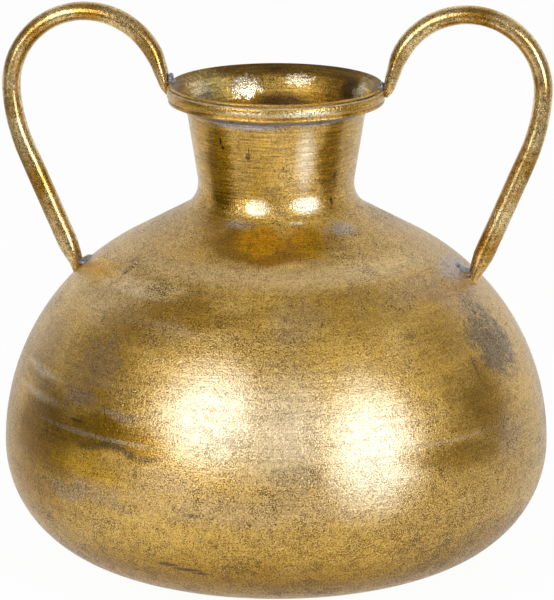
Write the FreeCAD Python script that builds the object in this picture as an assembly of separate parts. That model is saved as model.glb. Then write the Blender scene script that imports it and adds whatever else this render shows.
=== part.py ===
"""Two-handled urn vase in sheet metal, welded up from spun shells, a flared neck and bent rod.

The vase stands on its base with +Z up.  The origin is on the axis at the plane it stands on, and
the two handles lie in the XZ plane.  Lengths are in millimetres and angles in degrees.
"""
import FreeCAD, Part
import math
import os

# Sheet and body
sheet = 1.0
belly_radius = 122.6
lower_turn_radius = 49.7
underside_radius = 140.0
underside_slope = 12.0
shoulder_radius = 104.5
shoulder_slope = 28.7

# Neck, waisted low down and flared to the lip
neck_waist_radius = 34.8
neck_foot_radius = 14.0
neck_taper = 8.9
neck_height = 43.6
lip_spread = 12.8
lip_flare_radius = 22.8

# Hoop round the lip
hoop_proud = 1.0
hoop_thickness = 2.3
hoop_height = 5.0
hoop_drop = 0.7
hoop_crown = 1.1

# Weld seams of the body, ground flush
girth_weld_width = 2.4
neck_weld_width = 2.4
neck_weld_rise = 0.56
hoop_weld_drop = 4.6
hoop_weld_lap = 0.8

# Two points nearer than this are one
tiny = 1e-6

# Handle rod: round in the leg, flattened a little by the bend, pinched at both ends
rod_diameter = 9.3
bend_thickness = 8.4
bend_width = 9.8
rim_tip_thickness = 5.6
rim_tip_width = 10.4
rim_taper = 9.5
foot_tip_thickness = 5.8
foot_tip_width = 10.0
foot_taper = 9.0
foot_run_in = 3.0
rim_tip_out = 0.8
rim_tip_drop = 2.8
side_steps = 4
taper_steps = 4

# Each handle is bent by hand, so the two differ a little
left_bend = {
    "side": -1,
    "inner_straight": 1.0,
    "inner_lean": 18.0,
    "crown_radius": 34.5,
    "side_radius": 80.0,
    "crown_overrun": 3.0,
    "foot_reach": 90.3,
}
right_bend = {
    "side": 1,
    "inner_straight": 3.5,
    "inner_lean": 16.0,
    "crown_radius": 33.3,
    "side_radius": 84.5,
    "crown_overrun": 3.0,
    "foot_reach": 88.7,
}

# Weld beads at the handle ends: a slug of weld that swells in the middle
rim_bead_length = 11.0
rim_bead_radius = 2.6
rim_bead_in = 1.6
rim_bead_rise = 1.2
foot_bead_length = 10.0
foot_bead_radius = 2.5
foot_bead_in = 1.14
bead_swell_shares = (0.4, 0.85, 1.0, 0.9, 0.75, 0.35)


def point(r, z, y=0.0):
    """A point of the half section: r out from the axis, z up."""
    return FreeCAD.Vector(r, y, z)


def sin(angle):
    return math.sin(math.radians(angle))


def cos(angle):
    return math.cos(math.radians(angle))


class Arc:
    """A round stretch of the outline, from one angle to another about its centre.

    The outline is followed from the base up to the lip with the inside of the vase on its left,
    so the sheet lies towards the centre on an arc that turns left, and away from it on one that
    turns right.
    """

    def __init__(self, centre, radius, start, end):
        self.centre = centre
        self.radius = radius
        self.start = start
        self.end = end

    def at(self, angle, depth=0.0):
        side = 1 if self.end > self.start else -1
        reach = self.radius - side * depth
        return self.centre + point(reach * cos(angle), reach * sin(angle))

    def edge(self, depth):
        middle = (self.start + self.end) / 2
        arc = Part.Arc(self.at(self.start, depth), self.at(middle, depth), self.at(self.end, depth))
        return arc.toShape()

    def first(self, depth):
        return self.at(self.start, depth)

    def last(self, depth):
        return self.at(self.end, depth)


class Line:
    """A straight stretch of the outline, with the sheet on its left."""

    def __init__(self, begin, finish):
        self.begin = begin
        self.finish = finish

    def left(self):
        run = (self.finish - self.begin).normalize()
        return point(-run.z, run.x)

    def first(self, depth):
        return self.begin + self.left() * depth

    def last(self, depth):
        return self.finish + self.left() * depth

    def edge(self, depth):
        return Part.LineSegment(self.first(depth), self.last(depth)).toShape()


# Body outline, worked out upwards from the base
belly_height = (
    underside_radius - (underside_radius - lower_turn_radius) * cos(underside_slope)
)
lower_centre = point(belly_radius - lower_turn_radius, belly_height)
base_flat_radius = lower_centre.x - (underside_radius - lower_turn_radius) * sin(underside_slope)
underside_centre = point(base_flat_radius, underside_radius)
shoulder_centre = point(belly_radius - shoulder_radius, belly_height)
shoulder_end_angle = 90 - shoulder_slope
girth_weld_angle = math.degrees(girth_weld_width / shoulder_radius)

# Neck outline: the foot curve is tangent to the shoulder's cone and to the neck's own cone
neck_foot_centre_radius = neck_waist_radius + neck_foot_radius
shoulder_top_radius = neck_foot_centre_radius - neck_foot_radius * sin(shoulder_slope)
shoulder_arc_end = shoulder_centre + point(
    shoulder_radius * cos(shoulder_end_angle), shoulder_radius * sin(shoulder_end_angle)
)
shoulder_rise = (shoulder_arc_end.x - shoulder_top_radius) * math.tan(math.radians(shoulder_slope))
shoulder_top = point(shoulder_top_radius, shoulder_arc_end.z + shoulder_rise)
waist_height = shoulder_top.z + neck_foot_radius * cos(shoulder_slope)
neck_foot_centre = point(neck_foot_centre_radius, waist_height)
neck_weld_start = 270 - shoulder_slope - math.degrees(neck_weld_rise / neck_foot_radius)
neck_weld_end = neck_weld_start - math.degrees(neck_weld_width / neck_foot_radius)
neck_foot_end = 180 - neck_taper

# Lip: the flare is tangent to the neck's cone and ends at the lip
lip_radius = neck_waist_radius + lip_spread
lip_height = waist_height + neck_height
lip = point(lip_radius, lip_height)
cone_start = neck_foot_centre + point(
    neck_foot_radius * cos(neck_foot_end), neck_foot_radius * sin(neck_foot_end)
)
cone_along = point(sin(neck_taper), cos(neck_taper))
cone_out = point(cos(neck_taper), -sin(neck_taper))
lip_along = (lip - cone_start).dot(cone_along)
lip_out = (lip - cone_start).dot(cone_out)
cone_length = lip_along - math.sqrt(2 * lip_flare_radius * lip_out - lip_out ** 2)
cone_end = cone_start + cone_along * cone_length
flare_centre = cone_end + cone_out * lip_flare_radius
lip_angle = 180 - math.degrees(
    math.atan2(lip.z - flare_centre.z, flare_centre.x - lip.x)
)

# Hoop, set under the lip
hoop_outer_radius = lip_radius + hoop_proud
hoop_inner_radius = hoop_outer_radius - hoop_thickness
hoop_top = lip_height - hoop_drop
hoop_bottom = hoop_top - hoop_height


def bowl_outline():
    """Flat base, underside and lower turn, up to the widest part."""
    return [
        Line(point(0, 0), point(base_flat_radius, 0)),
        Arc(underside_centre, underside_radius, -90, underside_slope - 90),
        Arc(lower_centre, lower_turn_radius, underside_slope - 90, 0),
    ]


def girth_outline():
    """The weld seam just above the widest part."""
    return [Arc(shoulder_centre, shoulder_radius, 0, girth_weld_angle)]


def shoulder_outline():
    """Round shoulder, then a cone that sweeps up into the neck's foot."""
    return [
        Arc(shoulder_centre, shoulder_radius, girth_weld_angle, shoulder_end_angle),
        Line(shoulder_arc_end, shoulder_top),
        Arc(neck_foot_centre, neck_foot_radius, 270 - shoulder_slope, neck_weld_start),
    ]


def neck_weld_outline():
    """The weld seam round the foot of the neck."""
    return [Arc(neck_foot_centre, neck_foot_radius, neck_weld_start, neck_weld_end)]


def neck_outline():
    """Waisted foot, slightly tapered neck and flared lip."""
    return [
        Arc(neck_foot_centre, neck_foot_radius, neck_weld_end, neck_foot_end),
        Line(cone_start, cone_end),
        Arc(flare_centre, lip_flare_radius, 180 - neck_taper, lip_angle),
    ]


def chain(points):
    """Straight edges from each point to the next, leaving out those of no length."""
    steps = zip(points, points[1:])
    return [Part.LineSegment(a, b).toShape() for a, b in steps if not a.isEqual(b, tiny)]


def turned(edges):
    """A closed half section, turned about the axis into a solid."""
    face = Part.Face(Part.Wire(edges))
    return face.revolve(point(0, 0), FreeCAD.Vector(0, 0, 1), 360)


def spun(outline):
    """A spun sheet piece: the outline with the sheet's thickness on its inner side."""
    outer = [stretch.edge(0) for stretch in outline]
    inner = [stretch.edge(sheet) for stretch in reversed(outline)]
    top = chain([outline[-1].last(0), outline[-1].last(sheet)])
    bottom = chain([outline[0].first(sheet), outline[0].first(0)])
    return turned(outer + top + inner + bottom)


def filled(outline):
    """The space inside an outline, as a solid: what a handle end or bead is trimmed against."""
    low = outline[0].first(0)
    high = outline[-1].last(0)
    edges = [stretch.edge(0) for stretch in outline]
    return turned(edges + chain([high, point(0, high.z), point(0, low.z), low]))


def mouth_hoop():
    """Hoop with a crowned outer face, its inner corner fitted to the flare of the lip."""
    face_edge = hoop_outer_radius - hoop_crown
    low = point(face_edge, hoop_bottom)
    middle = point(hoop_outer_radius, (hoop_bottom + hoop_top) / 2)
    high = point(face_edge, hoop_top)
    back = [high, point(hoop_inner_radius, hoop_top), point(hoop_inner_radius, hoop_bottom), low]
    crown = Part.Arc(low, middle, high).toShape()
    return turned([crown] + chain(back)).cut(filled(neck_outline()))


def flare_radius_at(height):
    """Outer radius of the neck at a height on its flare."""
    rise = height - flare_centre.z
    return flare_centre.x - math.sqrt(lip_flare_radius ** 2 - rise ** 2)


def mouth_hoop_weld():
    """Slope of weld that fills the corner between the hoop and the neck."""
    toe_height = hoop_bottom - hoop_weld_drop
    toe = point(flare_radius_at(toe_height), toe_height)
    edge = point(hoop_inner_radius, hoop_bottom + hoop_weld_lap)
    top = point(hoop_inner_radius, hoop_top)
    back = point(toe.x, hoop_top)
    return turned(chain([toe, edge, top, back, toe])).cut(filled(neck_outline()))


def heading(lean):
    """Unit run in the handle's plane: upwards, leaning out by an angle."""
    return point(sin(lean), cos(lean))


def rod_section(place, along, thickness, width):
    """A flattened round cut, square to the rod's run: thin in the handle's plane, wide across it.

    Every cut starts at its side edge, whichever way it is longer, so that a loft isn't twisted.
    """
    across = point(along.z, -along.x)
    sideways = FreeCAD.Vector(0, 1, 0)
    if width < thickness:
        ellipse = Part.Ellipse(point(0, 0), thickness / 2, width / 2)
        turn = FreeCAD.Rotation(across * -1, sideways, along * -1)
        start = math.pi / 2
    else:
        ellipse = Part.Ellipse(point(0, 0), width / 2, thickness / 2)
        turn = FreeCAD.Rotation(sideways, across, along * -1)
        start = 0
    ring = ellipse.toShape(start, start + 2 * math.pi)
    ring.Placement = FreeCAD.Placement(place, turn)
    return Part.Wire(ring)


def straight_rod(place, along, length, thickness, width):
    return Part.Face(rod_section(place, along, thickness, width)).extrude(along * length)


def pinched_rod(place, along, length, full, tip):
    """An end that narrows smoothly from the full rod's thickness and width to its tip's."""
    sections = []
    for step in range(taper_steps + 1):
        share = step / taper_steps
        eased = share * share * (3 - 2 * share)
        thickness = full[0] * (1 - eased) + tip[0] * eased
        width = full[1] * (1 - eased) + tip[1] * eased
        sections.append(rod_section(place + along * (length * share), along, thickness, width))
    return Part.makeLoft(sections, True, True)


def side_rod(centre, radius, start_lean, end_lean):
    """The long curve below the crown, where the rod grows round again."""
    sections = []
    for step in range(side_steps + 1):
        share = step / side_steps
        lean = start_lean * (1 - share) + end_lean * share
        place = centre + point(cos(lean), -sin(lean)) * radius
        thickness = bend_thickness * (1 - share) + rod_diameter * share
        width = bend_width * (1 - share) + rod_diameter * share
        sections.append(rod_section(place, heading(lean) * -1, thickness, width))
    return Part.makeLoft(sections, True, True)


def shoulder_at(reach):
    """The shoulder's outer point at a distance from the axis, and which way it faces."""
    if reach > shoulder_arc_end.x:
        facing = math.degrees(math.acos((reach - shoulder_centre.x) / shoulder_radius))
        return shoulder_centre + point(cos(facing), sin(facing)) * shoulder_radius, facing
    rise = (shoulder_arc_end.x - reach) * math.tan(math.radians(shoulder_slope))
    return point(reach, shoulder_arc_end.z + rise), shoulder_end_angle


def crown_line(bend):
    """Where the handle's line leaves the rim, starts over the crown, and has its two centres."""
    lean = bend["inner_lean"]
    over = bend["crown_overrun"]
    tip = point(hoop_outer_radius + rim_tip_out, lip_height - rim_tip_drop)
    start = tip + heading(lean) * (rim_taper + bend["inner_straight"])
    crown_centre = start + point(cos(lean), -sin(lean)) * bend["crown_radius"]
    between_centres = bend["side_radius"] - bend["crown_radius"]
    return tip, start, crown_centre, crown_centre - point(cos(over), -sin(over)) * between_centres


def leg_line(bend):
    """The leg's lean and length: it is the tangent from the foot to the side curve."""
    side = bend["side_radius"]
    foot, facing = shoulder_at(bend["foot_reach"])
    to_foot = foot - crown_line(bend)[-1]
    bearing = math.degrees(math.atan2(-to_foot.z, to_foot.x))
    lean = bearing - math.degrees(math.acos(side / to_foot.Length))
    return lean, math.sqrt(to_foot.Length ** 2 - side ** 2)


def bent_rod(bend):
    """The whole handle before it is trimmed: up from the rim, over the crown and down to the foot."""
    lean = bend["inner_lean"]
    side = bend["side_radius"]
    over = bend["crown_overrun"]
    rise = heading(lean)
    tip, crown_start, crown_centre, side_centre = crown_line(bend)
    foot, facing = shoulder_at(bend["foot_reach"])
    leg_lean, tangent = leg_line(bend)
    leg_length = tangent - foot_taper
    leg_start = side_centre + point(cos(leg_lean), -sin(leg_lean)) * side
    fall = heading(leg_lean) * -1
    leg_end = leg_start + fall * leg_length
    flat = (bend_thickness, bend_width)
    round_rod = (rod_diameter, rod_diameter)
    rim_tip = (rim_tip_thickness, rim_tip_width)
    foot_tip = (foot_tip_thickness, foot_tip_width)
    crown_face = Part.Face(rod_section(crown_start, rise, *flat))
    taper_end = tip + rise * rim_taper
    stretches = [
        straight_rod(taper_end, rise, bend["inner_straight"], *flat),
        pinched_rod(taper_end, rise * -1, rim_taper, flat, rim_tip),
        side_rod(side_centre, side, over, leg_lean),
        straight_rod(leg_start, fall, leg_length, *round_rod),
        pinched_rod(leg_end, fall, foot_taper, round_rod, foot_tip),
        straight_rod(foot, fall, foot_run_in, *foot_tip),
    ]
    sweep = 180 - lean + over
    rod = crown_face.revolve(crown_centre, FreeCAD.Vector(0, 1, 0), sweep).multiFuse(stretches)
    return rod if bend["side"] > 0 else mirrored(rod)


def mirrored(shape):
    """The same form on the other side of the axis."""
    return shape.mirror(point(0, 0), FreeCAD.Vector(1, 0, 0))


def bead(place, length, radius, side):
    """A slug of weld laid across the handle's plane, thickest near the middle."""
    sections = []
    last = len(bead_swell_shares) - 1
    for step, share in enumerate(bead_swell_shares):
        y = length * (step / last - 1 / 2)
        centre = FreeCAD.Vector(place.x * side, y, place.z)
        ring = Part.Circle(centre, FreeCAD.Vector(0, 1, 0), radius * share)
        sections.append(Part.Wire(ring.toShape()))
    return Part.makeLoft(sections, True, True)


def rim_bead(side, rod, mouth_space):
    """Weld in the corner between the handle's inner side and the lip."""
    place = point(lip_radius - rim_bead_in, lip_height + rim_bead_rise)
    slug = bead(place, rim_bead_length, rim_bead_radius, side)
    return largest(slug.cut(rod).cut(mouth_space))


def foot_bead(bend, rod, body_space):
    """Weld in the corner between the upper side of the handle's foot and the shoulder."""
    foot, facing = shoulder_at(bend["foot_reach"])
    corner = facing + leg_line(bend)[0]
    from_foot = (foot_tip_thickness / 2 + foot_bead_in) / sin(corner)
    place = foot + point(-sin(facing), cos(facing)) * from_foot
    slug = bead(place, foot_bead_length, foot_bead_radius, bend["side"])
    return largest(slug.cut(rod).cut(body_space))


def largest(shape):
    """The biggest solid of a trimmed shape: slivers of weld beyond a wall fall away."""
    return max(shape.Solids, key=lambda solid: solid.Volume)


def build():
    body_space = filled(bowl_outline() + girth_outline() + shoulder_outline())
    neck = spun(neck_outline())
    hoop = mouth_hoop()
    neck_space = filled(neck_outline())
    left_rod = bent_rod(left_bend)
    right_rod = bent_rod(right_bend)
    pieces = {
        "bottom_bowl": spun(bowl_outline()),
        "girth_weld": spun(girth_outline()),
        "shoulder_shell": spun(shoulder_outline()),
        "neck_weld": spun(neck_weld_outline()),
        "neck_sleeve": neck,
        "mouth_hoop": hoop,
        "mouth_hoop_weld": mouth_hoop_weld(),
    }
    for name, bend, rod in (("left", left_bend, left_rod), ("right", right_bend, right_rod)):
        pieces[name + "_handle"] = largest(rod.cut(body_space).cut(neck_space).cut(hoop))
        pieces[name + "_rim_weld"] = rim_bead(bend["side"], rod, neck.fuse(hoop))
        pieces[name + "_foot_weld"] = foot_bead(bend, rod, body_space)
    return pieces


os.makedirs("parts", exist_ok=True)
for name, shape in build().items():
    shape.exportStep("parts/" + name + ".step")
    box = shape.BoundBox
    print(name, len(shape.Solids), "solid", round(shape.Volume), "mm3", "valid", shape.isValid(),
          [round(v, 2) for v in (box.XMin, box.XMax, box.YMin, box.YMax, box.ZMin, box.ZMax)])
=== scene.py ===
"""Looks of the two-handled urn vase: antique gold spun sheet, brushed, peppered and left with bare welds.

Sizes are in metres, or in mm where a comment says so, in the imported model's own frame: +Z up, the
viewer towards -Y and the right handle towards +X.
"""
import math

import bpy
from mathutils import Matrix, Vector


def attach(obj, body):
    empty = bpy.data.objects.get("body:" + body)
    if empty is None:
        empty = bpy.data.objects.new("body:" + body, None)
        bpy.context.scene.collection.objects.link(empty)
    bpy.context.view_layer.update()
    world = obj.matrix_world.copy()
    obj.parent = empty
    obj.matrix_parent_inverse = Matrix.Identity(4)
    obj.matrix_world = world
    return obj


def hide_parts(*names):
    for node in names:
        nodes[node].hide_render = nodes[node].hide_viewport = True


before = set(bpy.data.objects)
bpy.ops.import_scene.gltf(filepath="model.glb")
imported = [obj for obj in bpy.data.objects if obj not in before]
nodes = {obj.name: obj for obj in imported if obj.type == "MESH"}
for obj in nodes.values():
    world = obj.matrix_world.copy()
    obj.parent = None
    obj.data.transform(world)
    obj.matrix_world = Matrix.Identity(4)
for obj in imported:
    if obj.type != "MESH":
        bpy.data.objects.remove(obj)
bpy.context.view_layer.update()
scene = bpy.context.scene
mm = 0.001


# Camera and lamps, with turns in degrees to the right of the front and rises in degrees

CAMERA_DISTANCE = 1.575
CAMERA_RISE = 14.9
CAMERA_TURN = 8.5
CAMERA_SHIFT = 0.0013
AIM_HEIGHT = 0.1151
LENS_LENGTH_MM = 210
SENSOR_WIDTH_MM = 36
VIEW_END = 20
LAMP_AIM_HEIGHT = 0.09

# Turn, rise, distance, width, height and watts of each lamp
SOFTBOXES = {
    "left_softbox": (-26, 29, 1.7, 1.0, 1.2, 12),
    "left_low_softbox": (-30, 3.5, 1.5, 0.7, 0.34, 1.2),
    "left_softbox_core": (-24, 24, 1.65, 0.42, 0.6, 3.6),
    "right_softbox": (49, 12, 1.7, 0.75, 1.35, 12),
    "right_softbox_core": (48, 14, 1.65, 0.36, 0.6, 4.5),
}


def towards(turn, rise, distance):
    """A place seen from the axis at a turn and a rise, at a distance."""
    turn = math.radians(turn)
    rise = math.radians(rise)
    flat = distance * math.cos(rise)
    return Vector((flat * math.sin(turn), -flat * math.cos(turn), distance * math.sin(rise)))


def look_at(thing, place, target):
    thing.location = place
    thing.rotation_euler = (target - place).to_track_quat("-Z", "Y").to_euler()


def set_camera():
    """The camera at the photograph's viewing angle."""
    aim = Vector((0, 0, AIM_HEIGHT))
    bpy.ops.object.camera_add()
    camera = bpy.context.object
    camera.name = "catalogue_camera"
    camera.data.lens = LENS_LENGTH_MM
    camera.data.sensor_width = SENSOR_WIDTH_MM
    camera.data.shift_x = CAMERA_SHIFT
    camera.data.clip_end = VIEW_END
    look_at(camera, aim + towards(CAMERA_TURN, CAMERA_RISE, CAMERA_DISTANCE), aim)
    scene.camera = camera


def set_softbox(name, turn, rise, distance, width, height, watts):
    """A soft studio lamp, aimed at the belly of the vase."""
    target = Vector((0, 0, LAMP_AIM_HEIGHT))
    bpy.ops.object.light_add(type="AREA")
    lamp = bpy.context.object
    lamp.name = name
    lamp.data.shape = "RECTANGLE"
    lamp.data.size = width
    lamp.data.size_y = height
    lamp.data.energy = watts
    look_at(lamp, target + towards(turn, rise, distance), target)


# Node helpers


def paint(red, green, blue):
    """A colour as it reads on a screen, from 0 to 255, in linear light."""
    linear = []
    for level in (red / 255, green / 255, blue / 255):
        linear.append(level / 12.92 if level <= 0.04045 else ((level + 0.055) / 1.055) ** 2.4)
    return (*linear, 1.0)


def lay(tree, kind, inputs=None, **settings):
    """One node, with its settings, and its inputs set or wired."""
    made = tree.nodes.new(kind)
    for name, value in settings.items():
        setattr(made, name, value)
    for name, value in (inputs or {}).items():
        socket = made.inputs[name]
        if isinstance(value, bpy.types.NodeSocket):
            tree.links.new(value, socket)
        else:
            socket.default_value = value
    return made


def sums(tree, operation, *values):
    """Arithmetic on values."""
    return lay(tree, "ShaderNodeMath", dict(enumerate(values)), operation=operation).outputs[0]


def times(tree, first, second):
    return sums(tree, "MULTIPLY", first, second)


def largest(tree, first, *others):
    for other in others:
        first = sums(tree, "MAXIMUM", first, other)
    return first


def heaped(tree, base, *heaps):
    """A base value with a share of each of the other values added to it."""
    for value, share in heaps:
        base = sums(tree, "MULTIPLY_ADD", value, share, base)
    return base


def vectors(tree, operation, *values):
    """Arithmetic on vectors. A length or a dot product comes out as a value."""
    made = lay(tree, "ShaderNodeVectorMath", dict(enumerate(values)), operation=operation)
    return made.outputs["Value" if operation in ("LENGTH", "DOT_PRODUCT") else "Vector"]


def split(tree, vector):
    return lay(tree, "ShaderNodeSeparateXYZ", {0: vector}).outputs


def join(tree, x=0.0, y=0.0, z=0.0):
    return lay(tree, "ShaderNodeCombineXYZ", {0: x, 1: y, 2: z}).outputs[0]


def own_place(tree):
    """Where a point is on its object, which is also where it is in the model."""
    return lay(tree, "ShaderNodeTexCoord").outputs["Object"]


def spread(tree, value, low, high, to_low=0.0, to_high=1.0):
    """A smooth step of a value from one range to another."""
    values = {0: value, 1: low, 2: high, 3: to_low, 4: to_high}
    return lay(tree, "ShaderNodeMapRange", values, interpolation_type="SMOOTHSTEP").outputs[0]


def between_levels(tree, share, first, second):
    """A value between two others."""
    return lay(tree, "ShaderNodeMix", {0: share, 2: first, 3: second}).outputs[0]


def blend(tree, mask, under, over, mode="MIX"):
    """One colour laid over another by a mask."""
    made = lay(tree, "ShaderNodeMix", {0: mask, 6: under, 7: over}, data_type="RGBA", blend_type=mode)
    return made.outputs[2]


def tinted(tree, grey, colour):
    """A colour made lighter and darker by a grey level."""
    tone = lay(tree, "ShaderNodeCombineColor", {0: grey, 1: grey, 2: grey}).outputs[0]
    return blend(tree, 1.0, colour, tone, "MULTIPLY")


def noise(tree, where, scale, detail, roughness):
    """Soft noise from 0 to 1, with a scale in waves per unit of the place."""
    inputs = {"Vector": where, "Scale": scale, "Detail": detail, "Roughness": roughness}
    return lay(tree, "ShaderNodeTexNoise", inputs).outputs["Fac"]


def centred(tree, value):
    """Noise moved to run about 0."""
    return sums(tree, "SUBTRACT", value, 0.5)


def new_group(name, inputs, outputs):
    """An empty node group with named sockets, and its input and output nodes' sockets."""
    group = bpy.data.node_groups.new(name, "ShaderNodeTree")
    for way, sockets in (("INPUT", inputs), ("OUTPUT", outputs)):
        for label, kind in sockets.items():
            group.interface.new_socket(name=label, in_out=way, socket_type="NodeSocket" + kind)
    return group, group.nodes.new("NodeGroupInput").outputs, group.nodes.new("NodeGroupOutput").inputs


def use(tree, group, **inputs):
    """The outputs of a node group placed in a tree. Underscores in a name stand for spaces."""
    wired = {label.replace("_", " ").capitalize(): value for label, value in inputs.items()}
    return lay(tree, "ShaderNodeGroup", wired, node_tree=group).outputs


# Effects that the materials share

# How far a wandered spot drifts from its own place at most, in degrees round and mm up, either way
WANDER = (12.0, 9.0, 0.0)
WANDER_SCALE = 30.0


def place_group():
    """Where a point lies on the vase: spots in degrees round and mm up, and round and up in metres."""
    outputs = {"Spot": "Vector", "Back spot": "Vector", "Wandered spot": "Vector",
               "Height": "Float", "Round": "Vector", "Place": "Vector"}
    group, _, out = new_group("Place on the vase", {}, outputs)
    place = own_place(group)
    x, y, z = split(group, place)
    turn = sums(group, "DEGREES", sums(group, "ARCTAN2", x, times(group, y, -1.0)))
    back_turn = sums(group, "DEGREES", sums(group, "ARCTAN2", times(group, x, -1.0), y))
    height = times(group, z, 1 / mm)
    spot = join(group, turn, height)
    waves = lay(group, "ShaderNodeTexNoise", {"Vector": place, "Scale": WANDER_SCALE, "Detail": 2.0})
    doubled = tuple(2 * reach for reach in WANDER)
    halfway = tuple(-reach for reach in WANDER)
    drift = vectors(group, "MULTIPLY_ADD", waves.outputs["Color"], doubled, halfway)
    ring = vectors(group, "NORMALIZE", join(group, x, y))
    found = {
        "Spot": spot,
        "Back spot": join(group, back_turn, height),
        "Wandered spot": vectors(group, "ADD", spot, drift),
        "Height": height,
        "Round": vectors(group, "ADD", ring, join(group, z=z)),
        "Place": place,
    }
    for label, value in found.items():
        group.links.new(value, out[label])
    return group


def smudge_group():
    """A ragged patch round one spot on the vase: its strength inside it and 0 outside."""
    inputs = {"Spot": "Vector", "Noise": "Float", "Middle": "Vector", "Narrowness": "Vector",
              "Ragged": "Float", "Full to": "Float", "Gone by": "Float", "Strength": "Float"}
    group, into, out = new_group("Smudge", inputs, {"Mask": "Float"})
    off = vectors(group, "SUBTRACT", into["Spot"], into["Middle"])
    away = vectors(group, "LENGTH", vectors(group, "MULTIPLY", off, into["Narrowness"]))
    away = heaped(group, away, (into["Noise"], into["Ragged"]))
    mask = spread(group, away, into["Full to"], into["Gone by"], into["Strength"], 0.0)
    group.links.new(mask, out["Mask"])
    return group


def pepper_group():
    """Fine dark pits and flecks in loose clumps, thicker where the density is high."""
    inputs = {"Place": "Vector", "Size": "Float", "Density": "Float"}
    group, into, out = new_group("Pepper", inputs, {"Mask": "Float"})
    scale = sums(group, "DIVIDE", 1.0, into["Size"])
    fine = noise(group, into["Place"], scale, 1.0, 0.5)
    clumps = noise(group, into["Place"], times(group, scale, 0.1), 4.0, 0.75)
    level = heaped(group, fine, (centred(group, clumps), 0.4))
    low = heaped(group, 0.7, (into["Density"], -0.36))
    mask = spread(group, level, low, sums(group, "ADD", low, 0.04))
    group.links.new(mask, out["Mask"])
    return group


def hairs_group():
    """Thin dark wandering hairlines: where soft noise crosses its middle level."""
    inputs = {"Place": "Vector", "Size": "Float", "Width": "Float"}
    group, into, out = new_group("Hairlines", inputs, {"Mask": "Float"})
    scale = sums(group, "DIVIDE", 1.0, into["Size"])
    off = sums(group, "ABSOLUTE", centred(group, noise(group, into["Place"], scale, 0.0, 0.4)))
    line = spread(group, off, 0.0, into["Width"], 1.0, 0.0)
    broken = noise(group, into["Place"], times(group, scale, 1.3), 1.0, 0.6)
    group.links.new(times(group, line, spread(group, broken, 0.56, 0.62)), out["Mask"])
    return group


def brushed_group():
    """Fine level lines from the brush that polished the turning vase, from -1 to 1."""
    inputs = {"Round": "Vector", "Length": "Float", "Width": "Float"}
    group, into, out = new_group("Brushed", inputs, {"Lines": "Float"})
    along = sums(group, "DIVIDE", 1.0, into["Length"])
    upward = sums(group, "DIVIDE", 1.0, into["Width"])
    where = vectors(group, "MULTIPLY", into["Round"], join(group, along, along, upward))
    lines = noise(group, where, 1.0, 3.0, 0.6)
    group.links.new(heaped(group, -1.0, (lines, 2.0)), out["Lines"])
    return group


def inside_group():
    """1 on surfaces that face the axis, such as the inside of the mouth."""
    group, _, out = new_group("Faces inwards", {}, {"Mask": "Float"})
    facing = lay(group, "ShaderNodeNewGeometry").outputs["True Normal"]
    outward = vectors(group, "NORMALIZE", vectors(group, "MULTIPLY", own_place(group), (1.0, 1.0, 0.0)))
    with_it = vectors(group, "DOT_PRODUCT", facing, outward)
    group.links.new(spread(group, with_it, -0.35, -0.05, 1.0, 0.0), out["Mask"])
    return group


PLACE = place_group()
SMUDGE = smudge_group()
PEPPER = pepper_group()
HAIRS = hairs_group()
BRUSHED = brushed_group()
INSIDE = inside_group()


# Colours of the vase

GOLD = paint(196, 154, 52)
DEEP_GOLD = paint(146, 106, 14)
PALE_GOLD = paint(222, 188, 114)
# Pale colour of the painted highlights and glints, and of the pale streaks and scars
PALE_STREAK_AND_HIGHLIGHT = paint(236, 220, 188)
# Olive of the painted shade and painted dark reflections
PAINTED_SHADE_OLIVE = paint(164, 120, 6)
# Yellow of the yellow patches and of the neck's painted reflection
YELLOW = paint(228, 176, 14)
# Mauve of the mauve patches and of the painted sheen along the outline
MAUVE = paint(158, 134, 108)
SMOKE = paint(100, 82, 56)
LILAC = paint(160, 150, 148)
PEPPER_BROWN = paint(84, 60, 6)
GRAIN_DEEP = paint(122, 86, 8)
# Dark brown of the handles' darkened ground, and of the painted shade inside the mouth
GROUND_AND_SHADE_BROWN = paint(64, 42, 10)
# Lit gold of the painted light inside the mouth
MOUTH_LIT_GOLD = paint(255, 222, 130)
SOOT = paint(42, 30, 16)
BARE_GREY = paint(134, 138, 152)
RUBBED_GOLD = paint(236, 208, 148)
RUBBED_DEEP = paint(182, 134, 40)

# Index of refraction of the clear lacquer over all the metal
LACQUER_IOR = 2.0


# Marks on the vase, where the photograph shows them: degrees round from the front, mm up,
# half-widths in degrees and mm, raggedness, softness and strength. One 400 degrees wide goes all round

# Some marks are painted light: highlights, shade, reflections and sheen, as each table says
ALL_ROUND = 400

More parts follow.
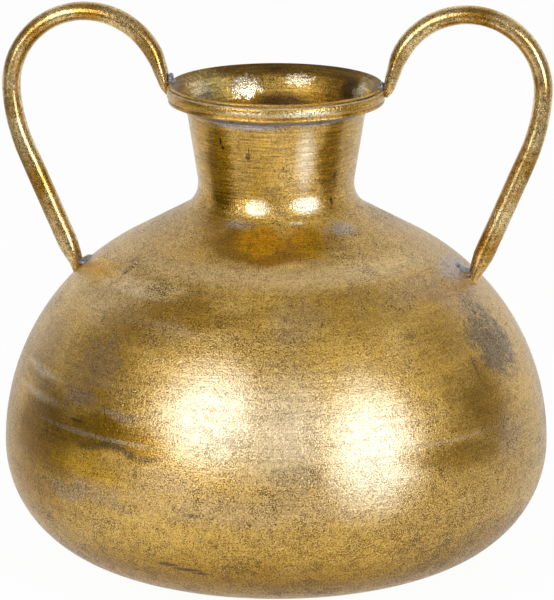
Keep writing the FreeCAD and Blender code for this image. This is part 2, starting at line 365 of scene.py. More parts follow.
# Painted shade and painted reflections of the dark studio: the olive wedge and columns, the band under
# the neck, the ring round the bottom and the band on the hoop
SHADED_GOLD = [
    (-14, 131, 17, 6.5, 0.6, 0.4, 0.6), (-29, 122, 10, 8, 0.8, 0.8, 0.6),
    (-36, 108, 10, 11, 0.8, 0.8, 0.6), (-36, 94, 12, 9, 0.8, 0.8, 0.6),
    (-33, 80, 14, 9, 0.8, 0.5, 0.9), (-46, 68, 10, 10, 1.0, 0.7, 0.6),
    (2, 154, 38, 5.6, 0.6, 0.3, 0.7), (0, 17, ALL_ROUND, 10, 0.8, 0.8, 0.9),
    (-54, 46, 16, 16, 0.8, 0.8, 0.9), (-50, 72, 14, 22, 0.8, 0.6, 1.0),
    (-62, 98, 10, 16, 0.8, 0.7, 0.5), (-8, 182, 15, 22, 1.0, 0.8, 0.45),
    (33, 130, 18, 6, 0.8, 0.8, 0.3), (58, 119, 12, 9, 0.8, 0.8, 0.4),
    (61, 90, 8, 19, 0.9, 0.7, 0.8), (51, 71.5, 12, 6, 1.2, 0.6, 0.65),
    (-33, 182, 11, 26, 0.6, 0.5, 1.0), (51, 187, 10, 21, 0.6, 0.5, 0.9),
    (0, 209.4, ALL_ROUND, 2.6, 0.6, 0.5, 0.45),
]
# Yellow patches; the two just under the neck are the neck's painted reflection in the shoulder
YELLOW_AND_NECK_REFLECTION = [
    (-31, 66, 11, 6, 1.4, 0.7, 0.7), (0, 154.2, 12, 4.8, 1.0, 0.4, 0.8),
    (25, 154, 8, 4.8, 1.0, 0.4, 0.8), (-66, 136, 13, 2.4, 0.8, 0.5, 0.8),
]
# Painted highlights: pale patches where the lamps' highlights lie on the belly and the neck, painted
# glints on the neck's foot and a painted pale sheen on the shoulder
PAINTED_HIGHLIGHTS = [
    (-5, 93, 11, 18, 0.6, 0.6, 0.82), (28.5, 80, 10, 24, 0.6, 0.6, 0.9),
    (11, 88, 12, 18, 0.8, 0.8, 0.6), (28.5, 187, 6, 13, 0.6, 0.7, 0.8),
    (-5, 166, 8, 3.6, 0.6, 0.35, 1.0), (31, 167, 11, 3.8, 0.6, 0.35, 1.0),
    (-46, 128, 12, 8, 1.0, 0.8, 0.25), (20, 143, 50, 3.5, 1.0, 0.8, 0.35),
]
# Pale streaks and a pale scar; the three on the hoop and along the lip are painted highlights
PALE_STREAKS_AND_HOOP_HIGHLIGHTS = [
    (-33, 78.7, 13, 0.9, 2.0, 0.8, 0.45), (51, 77.6, 12, 0.8, 2.0, 0.8, 0.2),
    (-40, 136.6, 22, 1.1, 1.6, 0.8, 0.3), (-57, 95.8, 9, 1.6, 1.6, 0.8, 0.45),
    (-55, 86.6, 9, 1.6, 1.6, 0.8, 0.45), (23, 159.8, 5, 0.6, 2.4, 0.4, 1.0),
    (24, 210, 16, 1.3, 0.8, 0.6, 1.0), (-4, 210, 16, 0.9, 1.2, 0.6, 0.6),
    (0, 212.8, ALL_ROUND, 0.36, 0.2, 0.6, 0.8), (-42, 134, 16, 1.6, 2.4, 0.7, 0.4),
]
# Mauve patches; the two tall ones at the sides lie along the outline as painted sheen
MAUVE_PATCHES_AND_EDGE_SHEEN = [
    (-38, 106, 7, 8, 4.0, 0.3, 0.45), (-41, 93, 4.5, 3.5, 2.4, 0.4, 0.7),
    (-28, 88.6, 8, 1.8, 1.8, 0.5, 0.7), (-36, 52, 8, 4.5, 4.2, 0.2, 0.6),
    (16, 127, 8, 7, 2.0, 0.6, 0.4), (68, 71, 6, 10, 2.6, 0.4, 0.5),
    (80, 128, 12, 8, 2.4, 0.5, 0.5), (-62, 105, 10, 12, 2.6, 0.5, 0.4),
    (2, 56, 22, 7, 2.4, 0.6, 0.4), (-17, 66, 10, 5, 2.0, 0.6, 0.4),
    (72, 128, 16, 8, 3.4, 0.3, 0.6), (58, 134, 14, 6, 3.6, 0.3, 0.5),
    (-80, 80, 9, 30, 3.0, 0.5, 0.4), (100, 70, 12, 34, 3.0, 0.5, 0.5),
    (-22, 124, 12, 3, 3.6, 0.4, 0.4), (-9, 110, 6, 2, 3.6, 0.4, 0.3),
]
SMOKE_PATCHES = [
    (73, 111, 8, 13, 2.6, 0.35, 0.9), (70, 105.5, 6, 6, 2.4, 0.3, 0.9),
    (-57.5, 91, 7, 3.4, 1.8, 0.4, 0.35), (-54, 81.5, 6, 3, 2.2, 0.5, 0.3),
    (9.5, 70, 4, 5, 2.6, 0.4, 0.35), (-27, 74.6, 7, 1.8, 2.6, 0.4, 0.7),
]
SOOT_LINES = [
    (-15, 26.4, 2.4, 1.0, 2.2, 0.4, 0.8), (-11.3, 24.7, 3, 0.9, 2.2, 0.4, 0.9),
    (-8, 23.3, 2.2, 0.7, 2.0, 0.4, 0.8), (-8.6, 51.9, 1.5, 1.0, 0.9, 0.4, 0.6),
    (-21, 66.5, 0.35, 4.5, 0.8, 0.6, 0.5), (-30.6, 194.6, 1.1, 1.6, 1.8, 0.3, 1.0),
    (-29.3, 191.8, 1.3, 0.8, 1.4, 0.3, 1.0), (-10.6, 188.8, 1.8, 1.5, 1.6, 0.3, 0.9),
    (-9.8, 191.5, 0.5, 2.2, 1.2, 0.4, 0.7), (51.9, 167.2, 1.4, 1.8, 1.6, 0.3, 1.0),
    (54, 178.5, 1.2, 1.8, 1.8, 0.3, 0.7), (-38.8, 83, 1.8, 0.7, 1.6, 0.3, 0.7),
    (60.6, 102, 0.5, 4.6, 0.6, 0.5, 0.5), (44.5, 119.7, 2, 0.8, 1.5, 0.4, 0.5),
]
LILAC_SMEARS = [
    (-12, 202.7, 24, 1.6, 1.8, 0.3, 0.95), (34, 203.4, 24, 0.7, 2.4, 0.4, 0.7),
    (-16, 159, 8, 1.3, 4.2, 0.3, 0.7), (49, 156.4, 9, 2.0, 4.4, 0.2, 0.8),
    (86, 134.5, 12, 4.5, 2.2, 0.4, 0.8), (-88, 133, 8, 3, 2.0, 0.4, 0.6),
]

# The same inside the mouth, in degrees round from the back
# Painted light: lighter gold on the inner wall of the mouth, round the painted glints
MOUTH_PAINTED_LIGHT = [
    (58, 206, 22, 7, 2.0, 0.4, 1.0), (-60, 208, 14, 5, 2.6, 0.3, 0.8),
    (12, 206, 34, 4, 1.2, 0.6, 0.2),
]
# Painted shade deep in the neck, and painted dark reflections on the inner wall and round the lip
MOUTH_DARKS = [
    (4, 198.5, 18, 3.6, 1.2, 0.5, 0.9), (-47, 207, 9, 5, 2.4, 0.25, 0.9),
    (0, 212.4, ALL_ROUND, 2.4, 0.6, 0.5, 0.5), (70, 200, 20, 6, 1.6, 0.6, 0.7),
]
# Painted glints: near-white patches where the lamps' highlights lie inside the mouth
MOUTH_PAINTED_GLINTS = [
    (29, 205, 10, 4.6, 2.8, 0.12, 1.0), (-6, 208, 9, 2.4, 3.4, 0.12, 0.7),
    (64, 206, 12, 4.5, 3.8, 0.1, 0.7), (-58, 207, 7, 3.5, 3.4, 0.15, 0.7),
]

# Layers of marks from the lowest up: marks, colour, edge, and the kind of spot that they keep to
# The pale layer is painted highlights and the shaded layer painted shade and reflections
MARK_LAYERS = {
    "pale": (PAINTED_HIGHLIGHTS, PALE_STREAK_AND_HIGHLIGHT, "ragged", "Spot"),
    "shaded": (SHADED_GOLD, PAINTED_SHADE_OLIVE, "ragged", "Wandered spot"),
    "yellow": (YELLOW_AND_NECK_REFLECTION, YELLOW, "ragged", "Spot"),
    "mauve": (MAUVE_PATCHES_AND_EDGE_SHEEN, MAUVE, "torn", "Wandered spot"),
    "smoke": (SMOKE_PATCHES, SMOKE, "torn", "Wandered spot"),
    "pale lines": (PALE_STREAKS_AND_HOOP_HIGHLIGHTS, PALE_STREAK_AND_HIGHLIGHT, "torn", "Spot"),
    "lilac": (LILAC_SMEARS, LILAC, "flaky", "Spot"),
    "soot": (SOOT_LINES, SOOT, "torn", "Spot"),
}
# Inside the mouth: painted light, painted shade and painted glints
MOUTH_LAYERS = {
    "painted light": (MOUTH_PAINTED_LIGHT, MOUTH_LIT_GOLD),
    "darks": (MOUTH_DARKS, GROUND_AND_SHADE_BROWN),
    "painted glints": (MOUTH_PAINTED_GLINTS, PALE_STREAK_AND_HIGHLIGHT),
}


# Materials


def new_material(name):
    made = bpy.data.materials.new(name)
    made.use_nodes = True
    made.node_tree.nodes.clear()
    return made, made.node_tree


def finish_metal(tree, colour, roughness, metallic, height, depth):
    """The shader that a metal's colour, roughness and grain feed, with its clear lacquer's gloss."""
    bump = lay(tree, "ShaderNodeBump", {"Height": height, "Distance": depth, "Strength": 1.0})
    shader = lay(tree, "ShaderNodeBsdfPrincipled", {
        "Base Color": colour, "Roughness": roughness, "Metallic": metallic, "IOR": LACQUER_IOR,
        "Normal": bump.outputs[0]})
    out = lay(tree, "ShaderNodeOutputMaterial")
    tree.links.new(shader.outputs[0], out.inputs["Surface"])


def marks(tree, spot, edge_noise, table):
    """The strongest of a list of marks at each point."""
    total = 0.0
    for turn, height, half_turn, half_height, ragged, soft, strength in table:
        mask = use(tree, SMUDGE, spot=spot, noise=edge_noise, middle=(turn, height, 0.0),
                   narrowness=(1 / half_turn, 1 / half_height, 0.0), ragged=ragged,
                   full_to=1 - soft, gone_by=1 + soft, strength=strength)[0]
        total = largest(tree, mask, total)
    return total


def clouded_gold(tree, around, clouds, patchy):
    """Gold with deeper clouds, pale patches and a pale haze drawn out level."""
    level = lay(tree, "ShaderNodeMapping", {"Vector": around, "Scale": (1.0, 1.0, 12.0)}).outputs[0]
    haze = noise(tree, level, 3.0, 4.0, 0.6)
    colour = blend(tree, spread(tree, clouds, 0.35, 0.7, 0.0, 0.45), GOLD, DEEP_GOLD)
    colour = blend(tree, spread(tree, patchy, 0.5, 0.7, 0.0, 0.5), colour, PALE_GOLD)
    return blend(tree, spread(tree, haze, 0.5, 0.75, 0.0, 0.5), colour, PALE_GOLD)


def marked(tree, colour, on_vase, inside, neck_lines):
    """A colour with all the marks laid on it, painted highlights, shade, reflections and sheen among
    them, and each layer's mask by its name.
    """
    ragged = centred(tree, noise(tree, on_vase["Place"], 110.0, 8.0, 0.76))
    flaky = centred(tree, noise(tree, on_vase["Place"], 600.0, 4.0, 0.75))
    edges = {
        "ragged": heaped(tree, ragged, (neck_lines, 0.4)),
        "flaky": flaky,
        "torn": heaped(tree, ragged, (flaky, 0.9)),
    }
    masks = {}
    for name, (table, over, edge, spot) in MARK_LAYERS.items():
        masks[name] = marks(tree, on_vase[spot], edges[edge], table)
        colour = blend(tree, masks[name], colour, over)
    # Deeper gold over the inside of the mouth: painted shade of the hollow
    colour = blend(tree, times(tree, inside, 0.9), colour, DEEP_GOLD)
    for name, (table, over) in MOUTH_LAYERS.items():
        masks[name] = times(tree, marks(tree, on_vase["Back spot"], flaky, table), inside)
        colour = blend(tree, masks[name], colour, over)
    return colour, masks


def grained(tree, colour, shade, grain, shade_or_inside, pale):
    """A shaded colour with bright grains except in the painted shade and inside the mouth, and deep
    grains, fewer in the painted highlights.
    """
    colour = tinted(tree, shade, colour)
    bright = times(tree, spread(tree, grain, 0.5, 0.72), heaped(tree, 0.7, (shade_or_inside, -0.6)))
    colour = blend(tree, bright, colour, PALE_GOLD)
    deep = times(tree, spread(tree, grain, 0.5, 0.28), heaped(tree, 0.7, (pale, -0.4)))
    return blend(tree, deep, colour, GRAIN_DEEP)


def body_gold():
    """Antique gold of the spun body: clouded, brushed level, peppered and patched, with painted
    highlights, shade and reflections.
    """
    made, tree = new_material("antique_gold_body")
    on_vase = use(tree, PLACE)
    place = on_vase["Place"]
    around = on_vase["Round"]
    inside = use(tree, INSIDE)[0]
    neck = spread(tree, on_vase["Height"], 158.0, 166.0)
    low = spread(tree, on_vase["Height"], 60.0, 10.0)
    clouds = noise(tree, place, 14.0, 4.0, 0.6)
    patchy = noise(tree, place, 55.0, 6.0, 0.7)
    grain = noise(tree, place, 1500.0, 1.0, 0.6)
    coarse = noise(tree, place, 420.0, 3.0, 0.65)
    lines = use(tree, BRUSHED, round=around, length=0.3, width=0.0008)[0]
    broad_lines = use(tree, BRUSHED, round=around, length=0.8, width=0.007)[0]

    colour = clouded_gold(tree, around, clouds, patchy)
    colour, masks = marked(tree, colour, on_vase, inside, times(tree, lines, neck))
    line_depth = heaped(tree, 0.4, (neck, 0.8))
    shade = heaped(tree, 1.0, (lines, line_depth), (broad_lines, 0.3), (centred(tree, coarse), 0.9))
    shade_or_inside = largest(tree, masks["shaded"], inside)
    colour = grained(tree, colour, shade, grain, shade_or_inside, masks["pale"])

    density = heaped(tree, 0.03, (clouds, 0.5), (low, 0.22), (spread(tree, patchy, 0.52, 0.7), 0.3),
                     (masks["smoke"], 0.25), (neck, -0.15))
    pepper = use(tree, PEPPER, place=place, size=0.0005, density=density)[0]
    hairs = use(tree, HAIRS, place=place, size=0.004, width=0.012)[0]
    dotted = times(tree, pepper, heaped(tree, 0.85, (masks["pale"], -0.6)))
    dots = largest(tree, dotted, times(tree, hairs, 0.25))
    colour = blend(tree, dots, colour, PEPPER_BROWN)

    dull = times(tree, inside, sums(tree, "SUBTRACT", 1.0, masks["painted glints"]))
    rough = heaped(tree, 0.25, (coarse, 0.1), (pepper, 0.15), (neck, -0.1), (dull, 0.22))
    bare = largest(tree, masks["shaded"], masks["yellow"], low, dots, times(tree, inside, 0.8))
    metallic = heaped(tree, 0.42, (bare, 0.58))
    relief = heaped(tree, grain, (pepper, -0.4), (coarse, 0.8), (lines, 0.3))
    finish_metal(tree, colour, rough, metallic, relief, 0.0002)
    return made


def handle_gold():
    """Rubbed gold of the handle rods over a darkened ground."""
    made, tree = new_material("rubbed_gold_handles")
    place = use(tree, PLACE)["Place"]
    clouds = noise(tree, place, 60.0, 5.0, 0.65)
    grain = noise(tree, place, 1800.0, 1.0, 0.6)
    colour = blend(tree, spread(tree, clouds, 0.35, 0.68), RUBBED_GOLD, RUBBED_DEEP)
    pepper = use(tree, PEPPER, place=place, size=0.0005, density=0.42)[0]
    flecks = use(tree, PEPPER, place=place, size=0.0014, density=0.2)[0]
    dots = largest(tree, times(tree, pepper, 0.7), times(tree, flecks, 0.6))
    shade = heaped(tree, 1.0, (centred(tree, grain), 1.8))
    colour = blend(tree, dots, tinted(tree, shade, colour), GROUND_AND_SHADE_BROWN)
    rough = heaped(tree, 0.11, (grain, 0.1))
    relief = heaped(tree, grain, (pepper, -0.3))
    finish_metal(tree, colour, rough, 0.85, relief, 0.00005)
    return made


def weld_grey():
    """Bare weld, blue-grey with a little heat tint and pits."""
    made, tree = new_material("bare_weld")
    place = use(tree, PLACE)["Place"]
    clouds = noise(tree, place, 260.0, 5.0, 0.65)
    colour = blend(tree, spread(tree, clouds, 0.54, 0.66), BARE_GREY, DEEP_GOLD)
    colour = blend(tree, spread(tree, clouds, 0.42, 0.3), colour, SMOKE)
    pepper = use(tree, PEPPER, place=place, size=0.0009, density=0.4)[0]
    colour = blend(tree, times(tree, pepper, 0.45), colour, SOOT)
    relief = heaped(tree, clouds, (pepper, -0.5))
    finish_metal(tree, colour, 0.45, 0.5, relief, 0.00008)
    return made


# Floor and backdrop

WHITE = (1.0, 1.0, 1.0, 1.0)
FLOOR_GREY = (0.9, 0.9, 0.9, 1.0)
FLOOR_SIZE = 8
FLOOR_SEEN = 0.96
FILL_STRENGTH = 0.5
# Degrees to the right of the front where the metal sees the dark gap between the lamps
GAP_TURN = 15


def floor_white():
    """Plain pale floor that takes the vase's shadow. The metal sees it dimmer in front and beside."""
    made, tree = new_material("pale_floor")
    matt = lay(tree, "ShaderNodeBsdfDiffuse", {"Color": FLOOR_GREY})
    rays = lay(tree, "ShaderNodeLightPath").outputs
    x, y, _ = split(tree, own_place(tree))
    beside = spread(tree, sums(tree, "ABSOLUTE", x), 0.2, 0.45, 1.0, 0.25)
    near = times(tree, spread(tree, y, -0.75, -0.25, 0.3, 1.0), beside)
    reflected = largest(tree, near, spread(tree, y, 0.1, 0.4))
    strength = between_levels(tree, rays["Is Glossy Ray"], 1.0, reflected)
    glow = lay(tree, "ShaderNodeEmission", {"Color": WHITE, "Strength": strength})
    seen = times(tree, largest(tree, rays["Is Camera Ray"], rays["Is Glossy Ray"]), FLOOR_SEEN)
    both = lay(tree, "ShaderNodeMixShader", {0: seen, 1: matt.outputs[0], 2: glow.outputs[0]})
    out = lay(tree, "ShaderNodeOutputMaterial")
    tree.links.new(both.outputs[0], out.inputs["Surface"])
    return made


def set_floor():
    bpy.ops.object.select_all(action="DESELECT")
    bpy.ops.mesh.primitive_plane_add(size=FLOOR_SIZE)
    floor = bpy.context.object
    floor.name = "studio_floor"
    floor.data.materials.append(floor_white())


def set_world():
    """White to the camera. The metal sees a white backdrop behind the vase and a dimmer studio."""
    world = bpy.data.worlds.new("white_studio")
    scene.world = world
    world.use_nodes = True
    tree = world.node_tree
    tree.nodes.clear()
    rays = lay(tree, "ShaderNodeLightPath").outputs
    way = lay(tree, "ShaderNodeTexCoord").outputs["Generated"]
    x, y, z = split(tree, way)
    aside = spread(tree, sums(tree, "ABSOLUTE", x), 0.6, 0.92, 0.4, 0.12)
    overhead = spread(tree, z, 0.8, 0.95, 1.0, 0.6)
    to_gap = vectors(tree, "DOT_PRODUCT", way, towards(GAP_TURN, 0, 1))
    studio = times(tree, times(tree, aside, overhead), spread(tree, to_gap, 0.88, 0.96, 1.0, 0.25))
    reflected = between_levels(tree, spread(tree, y, 0.35, 0.75), studio, 1.0)
    fill = between_levels(tree, rays["Is Glossy Ray"], FILL_STRENGTH, reflected)
    strength = between_levels(tree, rays["Is Camera Ray"], fill, 1.0)
    sky = lay(tree, "ShaderNodeBackground", {"Color": WHITE, "Strength": strength})
    out = lay(tree, "ShaderNodeOutputWorld")
    tree.links.new(sky.outputs[0], out.inputs["Surface"])


# Working on pieces

SMOOTH_ANGLE = 50


def start_piece():
    if bpy.context.object and bpy.context.object.mode == "EDIT":
        bpy.ops.object.mode_set(mode="OBJECT")
    bpy.ops.object.select_all(action="DESELECT")


def name_piece(name):
    """Names the active object and its mesh."""
    piece = bpy.context.object
    piece.name = name
    piece.data.name = name
    return piece


def finish_piece(material, replaced):
    """Makes the active object a finished piece: in place, smooth, riding and standing for its node."""
    piece = bpy.context.object
    bpy.ops.object.transform_apply(location=True, rotation=True, scale=True)
    bpy.ops.object.shade_smooth_by_angle(angle=math.radians(SMOOTH_ANGLE))
    piece.data.materials.clear()
    piece.data.materials.append(material)
    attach(piece, "root")
    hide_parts(replaced)


def apply_modifier(kind, **settings):
    """Adds a modifier to the active object and applies it."""
    change = bpy.context.object.modifiers.new(kind.lower(), kind)
    for name, value in settings.items():
        setattr(change, name, value)
    bpy.ops.object.modifier_apply(modifier=change.name)


def ripple(size, depth):
    """Small unevenness over the active piece, from a cloud texture."""
    texture = bpy.data.textures.new(bpy.context.object.name + "_ripple", "CLOUDS")
    texture.noise_scale = size
    apply_modifier("DISPLACE", texture=texture, strength=depth, mid_level=0.5)


# Hoop and the weld under it, as half sections in mm from the axis and up from the base

HOOP_STEPS = 288
HOOP_SECTION = [
    (45.4, 207.2), (46.6, 206.5), (47.4, 206.38), (47.9, 206.62), (48.08, 207.05),
    (47.98, 207.45), (47.62, 207.78), (47.7, 208.1), (48.2, 208.5), (48.5, 209.2),
    (48.6, 210.2), (48.56, 211.3), (48.42, 212.2), (48.1, 212.7), (47.6, 212.88), (46.8, 212.85),
]
HOOP_WELD_STEPS = 360
HOOP_WELD_SECTION = [
    (46.5, 208.6), (45.9, 207.6), (44.6, 206.7), (43.3, 205.9), (42.2, 205.1),
    (41.4, 204.4), (40.9, 203.9), (40.3, 203.4), (40.0, 203.5), (41.5, 206.2), (44.0, 208.8),
]


def turned_ring(section, steps):
    """A ring drawn out of a circle: its edge is extruded and resized along the section, then closed."""
    start_piece()
    radius, height = section[0]
    bpy.ops.mesh.primitive_circle_add(vertices=steps, radius=radius * mm, location=(0, 0, height * mm))
    bpy.ops.object.mode_set(mode="EDIT")
    bpy.ops.mesh.select_all(action="SELECT")
    for next_radius, next_height in section[1:]:
        rise = (next_height - height) * mm
        bpy.ops.mesh.extrude_edges_move(TRANSFORM_OT_translate={"value": (0, 0, rise)})
        share = next_radius / radius
        bpy.ops.transform.resize(value=(share, share, 1), center_override=(0, 0, next_height * mm))
        radius, height = next_radius, next_height
    bpy.ops.mesh.select_all(action="DESELECT")
    bpy.ops.mesh.select_non_manifold()
    bpy.ops.mesh.bridge_edge_loops()
    bpy.ops.mesh.select_all(action="SELECT")
    bpy.ops.mesh.normals_make_consistent(inside=False)
    bpy.ops.object.mode_set(mode="OBJECT")


def make_hoop(material):
    """The rolled hoop, with the groove above its lower bead."""
    turned_ring(HOOP_SECTION, HOOP_STEPS)
    name_piece("rolled_hoop")
    ripple(size=0.006, depth=0.00015)
    finish_piece(material, "mouth_hoop")


def make_hoop_weld(material):
    """The run of weld under the hoop, uneven along its lower edge."""
    turned_ring(HOOP_WELD_SECTION, HOOP_WELD_STEPS)
    name_piece("hoop_weld_run")
    ripple(size=0.004, depth=0.0005)
    finish_piece(material, "mouth_hoop_weld")


# Handles, in mm and degrees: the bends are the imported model's own, and lap is how far the rod
# starts below its rim end

LEFT_BEND = {
    "side": -1, "lap": 2.5, "straight": 10.5, "lean": 18.0, "crown": 34.5,
    "side_radius": 80.0, "leg_lean": 23.39, "leg": 58.26,
}
RIGHT_BEND = {
    "side": 1, "lap": 0.8, "straight": 13.0, "lean": 16.0, "crown": 33.3,
    "side_radius": 84.5, "leg_lean": 22.63, "leg": 60.15,
}
CROWN_OVERRUN = 3.0
CROWN_ARCS = 4
RIM_END = (49.4, 210.76)
FOOT_LAP = 2.5
LINE_RESOLUTION = 40
ROD_SIDES = 40
ROD_STEPS = 90

# Thickness and width of the rod, by mm from the rim end, and by mm back from the foot end
RIM_TAPER = [
    (0, 2.0, 5.0), (1.4, 4.2, 7.2), (5, 5.3, 9.2), (12, 6.5, 10.0), (20, 7.9, 9.9),
    (27, 8.3, 9.8), (120, 8.3, 9.7), (150, 9.2, 9.3),
]
FOOT_TAPER = [
    (0, 6.4, 8.6), (3.5, 6.4, 8.8), (5, 5.9, 9.0), (9, 7.6, 9.5), (14, 9.0, 9.4), (18, 9.3, 9.3),
]

# The hoop's face and the ball that the shoulder is part of near a foot, which the rods end against
HOOP_FACE_RADIUS = 48.55
HOOP_CUTTER_HEIGHT = 22
HOOP_CUTTER_MIDDLE = 201.9
SHOULDER_BALL_RADIUS = 104.45
SHOULDER_BALL_MIDDLE = (18.1, 51.67)


def between(stops, run):
    """Thickness and width at a run along a list of stops, eased from each to the next."""
    for (start, *first), (end, *last) in zip(stops, stops[1:]):
        if run <= end:
            share = (run - start) / (end - start)
            share = share * share * (3 - 2 * share)
            return [a + (b - a) * share for a, b in zip(first, last)]
    return stops[-1][1:]


def heading(lean):
    """Unit run in the handle's plane: upwards, leaning out."""
    return Vector((math.sin(math.radians(lean)), 0, math.cos(math.radians(lean))))


def bent_line(bend):
    """A curve along the handle: up from the rim, over the crown, down the side and the leg."""
    lean = bend["lean"]
    rise = heading(lean)
    end = Vector((RIM_END[0], 0, RIM_END[1]))
    leg = bend["leg"] + FOOT_LAP
    knots = [(end - rise * bend["lap"], lean)]
    pulls = [(bend["straight"] + bend["lap"]) / 3]
    place = end + rise * bend["straight"]
    turns = [(bend["crown"], (180 + CROWN_OVERRUN - lean) / CROWN_ARCS)] * CROWN_ARCS
    turns.append((bend["side_radius"], bend["leg_lean"] - CROWN_OVERRUN))
    for radius, turn in turns:
        knots.append((place, lean))
        pulls.append(4 / 3 * math.tan(math.radians(turn) / 4) * radius)
        place = place + heading(lean + 90) * radius - heading(lean + turn + 90) * radius
        lean += turn
    knots.append((place, lean))
    pulls.append(leg / 3)
    knots.append((place + heading(lean) * leg, lean))
    return drawn_line(knots, pulls, Vector((bend["side"] * mm, mm, mm)))


def drawn_line(knots, pulls, size):
    """A Bezier curve through knots, with the length of its handles on each stretch between them."""
    start_piece()
    bpy.ops.curve.primitive_bezier_curve_add()
    line = bpy.context.object
    line.data.resolution_u = LINE_RESOLUTION
    points = line.data.splines[0].bezier_points
    points.add(len(knots) - len(points))
    for step, (knot, (place, lean)) in enumerate(zip(points, knots)):
        knot.handle_left_type = knot.handle_right_type = "FREE"
        pull_in = pulls[max(step - 1, 0)]
        pull_out = pulls[min(step, len(pulls) - 1)]
        knot.co = place * size
        knot.handle_left = (place - heading(lean) * pull_in) * size
        knot.handle_right = (place + heading(lean) * pull_out) * size
    return line


def straight_rod(length):
    """A rod up from the origin, with both ends pinched, its section following the two tapers."""
    start_piece()
    thick, wide = RIM_TAPER[0][1:]
    bpy.ops.mesh.primitive_circle_add(vertices=ROD_SIDES, radius=1, fill_type="NGON")
    bpy.ops.object.mode_set(mode="EDIT")
    bpy.ops.mesh.select_all(action="SELECT")
    bpy.ops.transform.resize(value=(wide / 2 * mm, thick / 2 * mm, 1))
    rise = (0, 0, length / ROD_STEPS * mm)
    foot_reach = FOOT_TAPER[-1][0]
    for step in range(1, ROD_STEPS + 1):
        run = length * step / ROD_STEPS
        back = length - run
        new_thick, new_wide = between(FOOT_TAPER, back) if back < foot_reach else between(RIM_TAPER, run)
        bpy.ops.mesh.extrude_region_move(TRANSFORM_OT_translate={"value": rise})
        shares = (new_wide / wide, new_thick / thick, 1)
        bpy.ops.transform.resize(value=shares, center_override=(0, 0, run * mm))
        thick, wide = new_thick, new_wide
    bpy.ops.mesh.select_all(action="SELECT")
    bpy.ops.mesh.normals_make_consistent(inside=False)
    bpy.ops.object.mode_set(mode="OBJECT")


def trim(piece, cutter):
    """Cuts a form away from a piece, and clears it."""
    start_piece()
    bpy.context.view_layer.objects.active = piece
    piece.select_set(True)
    apply_modifier("BOOLEAN", operation="DIFFERENCE", solver="EXACT", object=cutter)
    bpy.data.objects.remove(cutter, do_unlink=True)


def make_handle(name, bend, material, replaced):
    """A straight rod bent along its line and trimmed to the hoop and the shoulder."""
    line = bent_line(bend)
    straight_rod(line.data.splines[0].calc_length() / mm)
    piece = name_piece(name)
    apply_modifier("CURVE", object=line, deform_axis="POS_Z")
    bpy.data.objects.remove(line, do_unlink=True)
    ripple(size=0.018, depth=0.0002)
    bpy.ops.object.select_all(action="DESELECT")
    bpy.ops.mesh.primitive_cylinder_add(
        vertices=256, radius=HOOP_FACE_RADIUS * mm, depth=HOOP_CUTTER_HEIGHT * mm,
        location=(0, 0, HOOP_CUTTER_MIDDLE * mm))
    trim(piece, bpy.context.object)
    bpy.ops.object.select_all(action="DESELECT")
    out, up = SHOULDER_BALL_MIDDLE
    bpy.ops.mesh.primitive_uv_sphere_add(
        segments=256, ring_count=128, radius=SHOULDER_BALL_RADIUS * mm,
        location=(out * bend["side"] * mm, 0, up * mm))
    trim(piece, bpy.context.object)
    finish_piece(material, replaced)


# Lumps of weld at the handle ends: centre and half-sizes in mm

LEFT_RIM_LUMPS = [
    (-46.9, -1.0, 213.7, 1.6, 3.4, 1.2), (-47.2, -0.6, 215.4, 1.2, 2.9, 2.2),
    (-47.3, -0.4, 216.2, 1.1, 2.6, 1.7), (-45.8, -0.8, 211.4, 0.9, 3.4, 2.4),
    (-46.6, 1.6, 213.5, 1.5, 2.8, 1.1),
]
RIGHT_RIM_LUMPS = [
    (46.9, -0.8, 213.6, 1.6, 3.2, 1.2), (47.2, -0.4, 215.0, 1.1, 2.7, 1.6),
    (45.8, -0.8, 211.4, 0.8, 2.8, 2.2), (46.6, 1.6, 213.5, 1.5, 2.7, 1.1),
]
LEFT_FOOT_LUMPS = [
    (-87.4, -1.6, 130.2, 2.6, 3.6, 1.6), (-87.0, 1.6, 130.4, 2.4, 3.0, 1.5),
    (-85.0, -0.6, 132.0, 2.6, 3.2, 1.0),
]
RIGHT_FOOT_LUMPS = [
    (86.0, -1.6, 131.2, 2.5, 3.6, 1.5), (85.6, 1.6, 131.4, 2.4, 3.0, 1.5),
    (83.4, -0.8, 133.1, 2.6, 3.2, 0.9), (80.6, -0.6, 134.7, 2.6, 2.8, 0.6),
]
LUMP_GRAIN = 0.25
LUMP_SOFTENING = 14


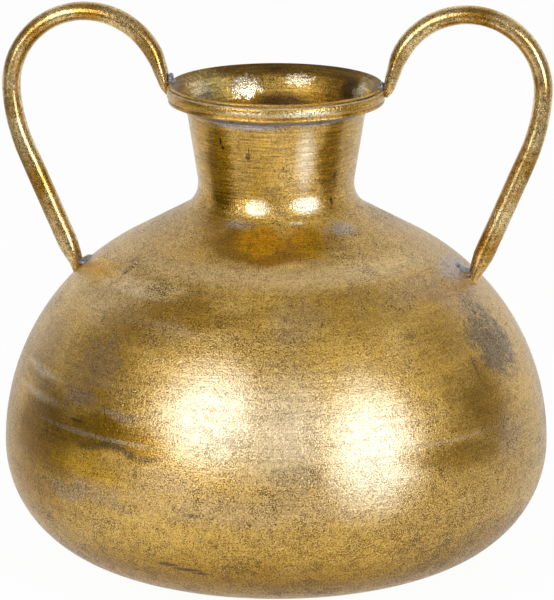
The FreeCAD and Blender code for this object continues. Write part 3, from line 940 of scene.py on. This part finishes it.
def make_weld(name, lumps, material, replaced):
    """Weld laid down in lumps that run together."""
    start_piece()
    blobs = []
    for x, y, z, wide, deep, high in lumps:
        bpy.ops.mesh.primitive_ico_sphere_add(
            subdivisions=3, radius=1, location=(x * mm, y * mm, z * mm),
            scale=(wide * mm, deep * mm, high * mm))
        bpy.ops.object.transform_apply(location=True, rotation=True, scale=True)
        blobs.append(bpy.context.object)
        bpy.context.object.select_set(False)
    for blob in blobs:
        blob.select_set(True)
    bpy.context.view_layer.objects.active = blobs[0]
    bpy.ops.object.join()
    name_piece(name)
    apply_modifier("REMESH", mode="VOXEL", voxel_size=LUMP_GRAIN * mm)
    apply_modifier("SMOOTH", iterations=LUMP_SOFTENING)
    ripple(size=0.0025, depth=0.0003)
    finish_piece(material, replaced)


# The scene

HANDLES = {
    "left_bent_rod": (LEFT_BEND, "left_handle"),
    "right_bent_rod": (RIGHT_BEND, "right_handle"),
}
HANDLE_WELDS = {
    "left_rim_lumps": (LEFT_RIM_LUMPS, "left_rim_weld"),
    "right_rim_lumps": (RIGHT_RIM_LUMPS, "right_rim_weld"),
    "left_foot_lumps": (LEFT_FOOT_LUMPS, "left_foot_weld"),
    "right_foot_lumps": (RIGHT_FOOT_LUMPS, "right_foot_weld"),
}


def dress(material, *names):
    """Gives CAD nodes a material in all their slots."""
    for name in names:
        for slot in nodes[name].material_slots:
            slot.material = material


set_camera()
set_world()
set_floor()
for name, placing in SOFTBOXES.items():
    set_softbox(name, *placing)

body = body_gold()
rods = handle_gold()
weld = weld_grey()
dress(body, "bottom_bowl", "girth_weld", "shoulder_shell", "neck_weld", "neck_sleeve", "mouth_hoop")
dress(weld, "mouth_hoop_weld")
make_hoop(body)
make_hoop_weld(weld)
for name, (bend, replaced) in HANDLES.items():
    dress(rods, replaced)
    make_handle(name, bend, rods, replaced)
for name, (lumps, replaced) in HANDLE_WELDS.items():
    dress(weld, replaced)
    make_weld(name, lumps, weld, replaced)

scene.view_settings.view_transform = "Standard"
